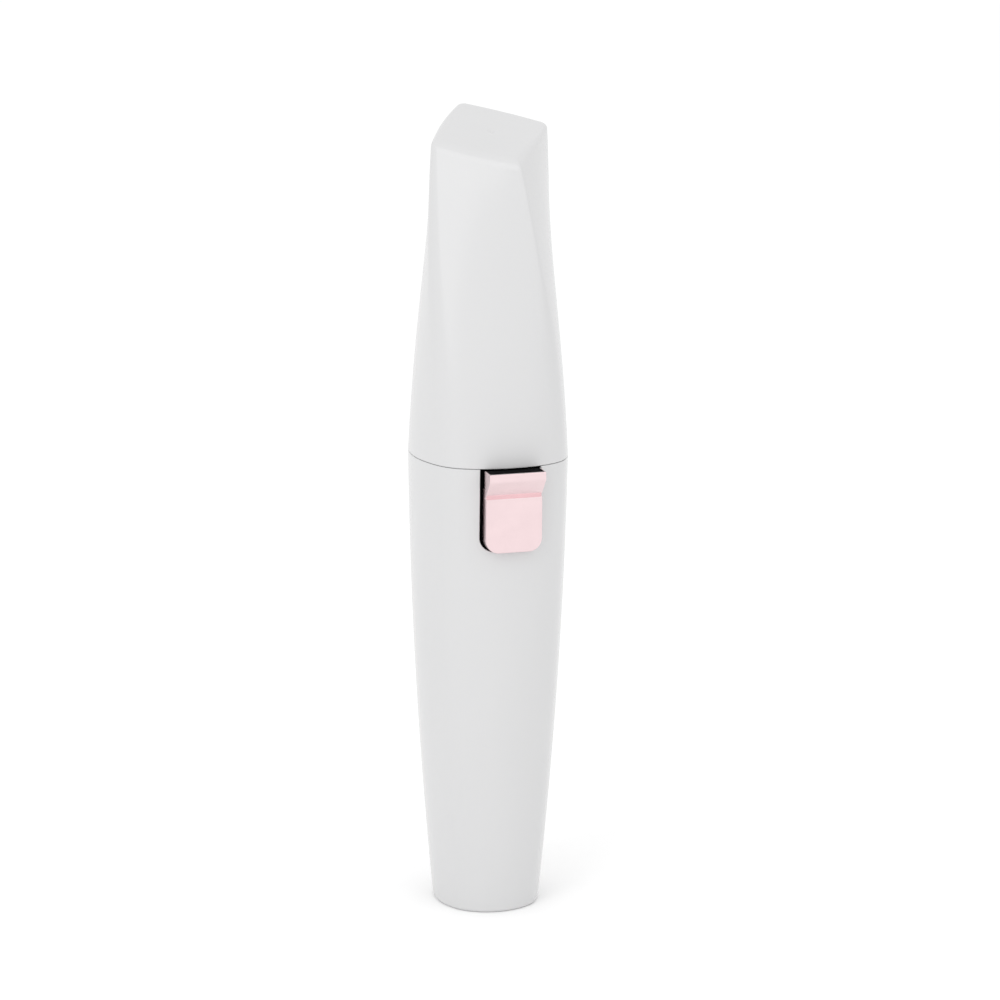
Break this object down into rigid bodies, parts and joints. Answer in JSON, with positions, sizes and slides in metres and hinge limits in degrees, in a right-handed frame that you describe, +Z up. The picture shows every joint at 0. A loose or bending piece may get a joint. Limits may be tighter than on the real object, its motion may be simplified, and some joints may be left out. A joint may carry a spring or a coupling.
{
  "type": "epilator",
  "caption": "Pen-shaped facial epilator with a twisted protective cap, a rose-gold thumb slider and a motor-driven rotating tweezer head under the cap.",
  "frame": {"origin": "centre of the flat underside of the handle, on the axis of the body", "axes": "+Z up the body towards the cap; -Y towards the thumb slider; +X to the right of someone facing the slider"},
  "size_m": [0.028, 0.0336, 0.145],
  "materials": {
    "white_shell": "satin white ABS, fine moulded surface",
    "white_plastic": "fine matt white",
    "rose_gold": "satin rose-gold plating on a moulded trim",
    "black_plastic": "black, fine texture",
    "silicone": "matt grey silicone",
    "steel": "bright ground steel",
    "nickel": "nickel plating",
    "circuit_board": "solder mask over glass fibre",
    "chip_plastic": "moulded epoxy",
    "cell_sleeve": null,
    "red_wire": "soft insulation",
    "black_wire": "soft insulation",
    "ferrite": "sintered, matt",
    "brass": "turned",
    "rotor_winding": "enamelled copper on laminations",
    "gear_plastic": "acetal, natural"
  },
  "bodies": {
    "handle": {"handle_shell": "white_shell", "neck": "white_plastic", "collar_ring": "rose_gold", "cap_seal": "silicone", "switch_bed": "black_plastic", "switch_seal": "silicone", "slide_switch": "steel", "main_board": "circuit_board", "board_components": "chip_plastic", "board_screws": "steel", "charge_board": "circuit_board", "usb_shell": "steel", "usb_tongue": "black_plastic", "chassis": "black_plastic", "battery_cell": "cell_sleeve", "battery_terminal": "nickel", "contact_positive": "nickel", "contact_negative": "nickel", "battery_wires": "red_wire", "motor_wires": "black_wire", "motor_can": "steel", "motor_magnets": "ferrite", "motor_end_bell": "white_plastic", "motor_brushes": "brass", "motor_terminals": "nickel", "motor_bushes": "brass", "gear_frame": "black_plastic", "gear_cover": "black_plastic", "cover_screws": "steel", "crown_axle": "steel", "idler_axle": "steel", "drum_axle": "steel", "press_cam": "black_plastic", "head_housing": "white_plastic"},
    "cap": {"cap": "white_shell"},
    "slider": {"switch_carrier": "black_plastic", "switch_trim": "rose_gold", "switch_actuator": "black_plastic"},
    "rotor": {"rotor_shaft": "steel", "rotor_core": "rotor_winding", "commutator": "brass", "motor_pinion": "brass"},
    "crown": {"crown_gear": "gear_plastic"},
    "idler": {"idler_gear": "gear_plastic"},
    "drum": {"drum_core": "white_plastic", "fixed_tweezers": "steel", "moving_tweezers": "steel", "drum_gear": "gear_plastic", "drum_bushes": "brass"}
  },
  "joints": [
    {"name": "cap_slide", "type": "slide", "parent": "handle", "child": "cap", "axis": [0, 0, 1], "range_m": [0, 0.06]},
    {"name": "switch_slide", "type": "slide", "parent": "handle", "child": "slider", "axis": [0, 0, 1], "range_m": [0, 0.0025]},
    {"name": "motor_spin", "type": "hinge", "parent": "handle", "child": "rotor", "pos_m": [0, 0, 0.09], "axis": [0, 0, 1], "continuous": true},
    {"name": "crown_spin", "type": "hinge", "parent": "handle", "child": "crown", "pos_m": [0, 0, 0.1075], "axis": [1, 0, 0], "continuous": true},
    {"name": "idler_spin", "type": "hinge", "parent": "handle", "child": "idler", "pos_m": [0, 0, 0.115], "axis": [1, 0, 0], "continuous": true},
    {"name": "drum_spin", "type": "hinge", "parent": "handle", "child": "drum", "pos_m": [0, 0, 0.124], "axis": [1, 0, 0], "continuous": true}
  ],
  "couplings": [
    {"joint": "crown_spin", "follows": "motor_spin", "ratio": 0.41667},
    {"joint": "idler_spin", "follows": "motor_spin", "ratio": -0.27778},
    {"joint": "drum_spin", "follows": "motor_spin", "ratio": 0.27778}
  ]
}
